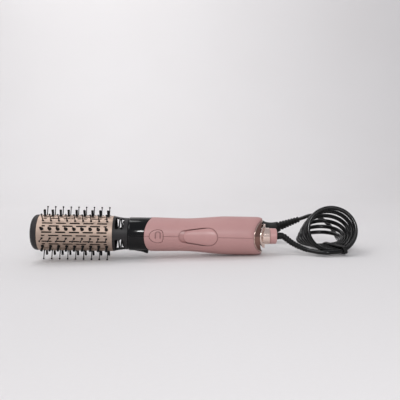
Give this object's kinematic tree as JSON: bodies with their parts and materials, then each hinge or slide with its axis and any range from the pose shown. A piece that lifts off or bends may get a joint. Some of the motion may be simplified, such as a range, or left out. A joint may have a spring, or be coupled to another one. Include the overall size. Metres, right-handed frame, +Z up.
{
  "type": "hot air brush",
  "caption": "Rotating hot air hair brush: bristled, perforated barrel on a detachable head, rounded handle with push button and slider, and a swivelling mains cord with its plug.",
  "frame": {"origin": "on the surface it lies on, under the middle of the brush without its cord", "axes": "+X along the brush from tip to tail, -Y the side with the button and slider, +Z up"},
  "size_m": [0.4497, 0.1671, 0.0762],
  "materials": {
    "pink_plastic": "satin dusty pink moulding",
    "rose_metal": "rose anodised perforated sleeve",
    "rose_chrome": "bright rose plating",
    "black_plastic": "gloss black moulding",
    "black_nylon": "nylon bristle",
    "black_rubber": "flexible black cord sheath",
    "grey_plastic": "heat resistant inner moulding",
    "steel": "plain steel",
    "plug_pin_metal": "nickel plated",
    "mica_board": "mica sheet",
    "circuit_board": "solder resist green"
  },
  "bodies": {
    "handle": {"shell_upper": "pink_plastic", "shell_lower": "pink_plastic", "inlet_ring": "rose_chrome", "inlet_filter": "steel", "tail_housing": "rose_chrome", "heater_sleeve": "steel", "heater_frame": "mica_board", "heater_coil": "steel", "fan_motor": "steel", "gear_motor": "steel", "front_bulkhead": "grey_plastic", "rear_bulkhead": "grey_plastic", "control_board": "circuit_board", "push_switch": "black_plastic", "slide_switch": "black_plastic", "cord_guard": "black_rubber", "cord_lead": "black_rubber", "cord_coil": "black_rubber", "cord_tail": "black_rubber", "cord_tie": "black_rubber", "plug_body": "black_rubber", "plug_pin_1": "plug_pin_metal", "plug_pin_2": "plug_pin_metal"},
    "head": {"nose_upper": "black_plastic", "nose_lower": "black_plastic", "bearing_bush": "grey_plastic", "latch_pin": "steel"},
    "barrel": {"end_cap": "black_plastic", "barrel_sleeve": "rose_metal", "front_carrier": "grey_plastic", "rear_carrier": "grey_plastic", "core_tube": "grey_plastic", "vent_collar": "black_plastic", "tuft_strip_1": "black_nylon", "tuft_strip_2": "black_nylon", "tuft_strip_3": "black_nylon", "tuft_strip_4": "black_nylon", "tuft_strip_5": "black_nylon", "tuft_strip_6": "black_nylon", "pin_strip_1": "black_nylon", "pin_strip_2": "black_nylon", "pin_strip_3": "black_nylon", "pin_strip_4": "black_nylon", "pin_strip_5": "black_nylon", "pin_strip_6": "black_nylon"},
    "drive": {"drive_shaft": "steel"},
    "fan": {"fan_rotor": "black_plastic"},
    "slider": {"mode_slider": "pink_plastic"},
    "button": {"rotation_button": "pink_plastic"},
    "latch": {"release_latch": "black_plastic"},
    "swivel": {"swivel_cap": "pink_plastic"}
  },
  "joints": [
    {"name": "head_release", "type": "slide", "parent": "handle", "child": "head", "axis": [-0.999, 0, 0.0441], "range_m": [0, 0.03]},
    {"name": "barrel_spin", "type": "hinge", "parent": "head", "child": "barrel", "pos_m": [-0.10787, 0, 0.03785], "axis": [0.999, 0, -0.0441], "continuous": true},
    {"name": "drive_spin", "type": "hinge", "parent": "handle", "child": "drive", "pos_m": [-0.02395, 0, 0.03414], "axis": [0.999, 0, -0.0441], "continuous": true},
    {"name": "fan_spin", "type": "hinge", "parent": "handle", "child": "fan", "pos_m": [0.11931, 0, 0.02782], "axis": [0.999, 0, -0.0441], "continuous": true},
    {"name": "mode_slide", "type": "slide", "parent": "handle", "child": "slider", "axis": [-0.999, 0, 0.0441], "range_m": [0, 0.0066]},
    {"name": "button_press", "type": "slide", "parent": "handle", "child": "button", "axis": [0, 1, 0], "range_m": [0, 0.0012], "stiffness_N_per_m": 900},
    {"name": "latch_press", "type": "hinge", "parent": "head", "child": "latch", "pos_m": [-0.02911, 0, 0.01333], "axis": [0, -1, 0], "range_deg": [0, 8], "stiffness_Nm_per_rad": 0.28},
    {"name": "cord_swivel", "type": "hinge", "parent": "handle", "child": "swivel", "pos_m": [0.16487, 0, 0.02581], "axis": [0.999, 0, -0.0441], "continuous": true}
  ],
  "couplings": [
    {"joint": "drive_spin", "follows": "barrel_spin", "ratio": 1}
  ]
}
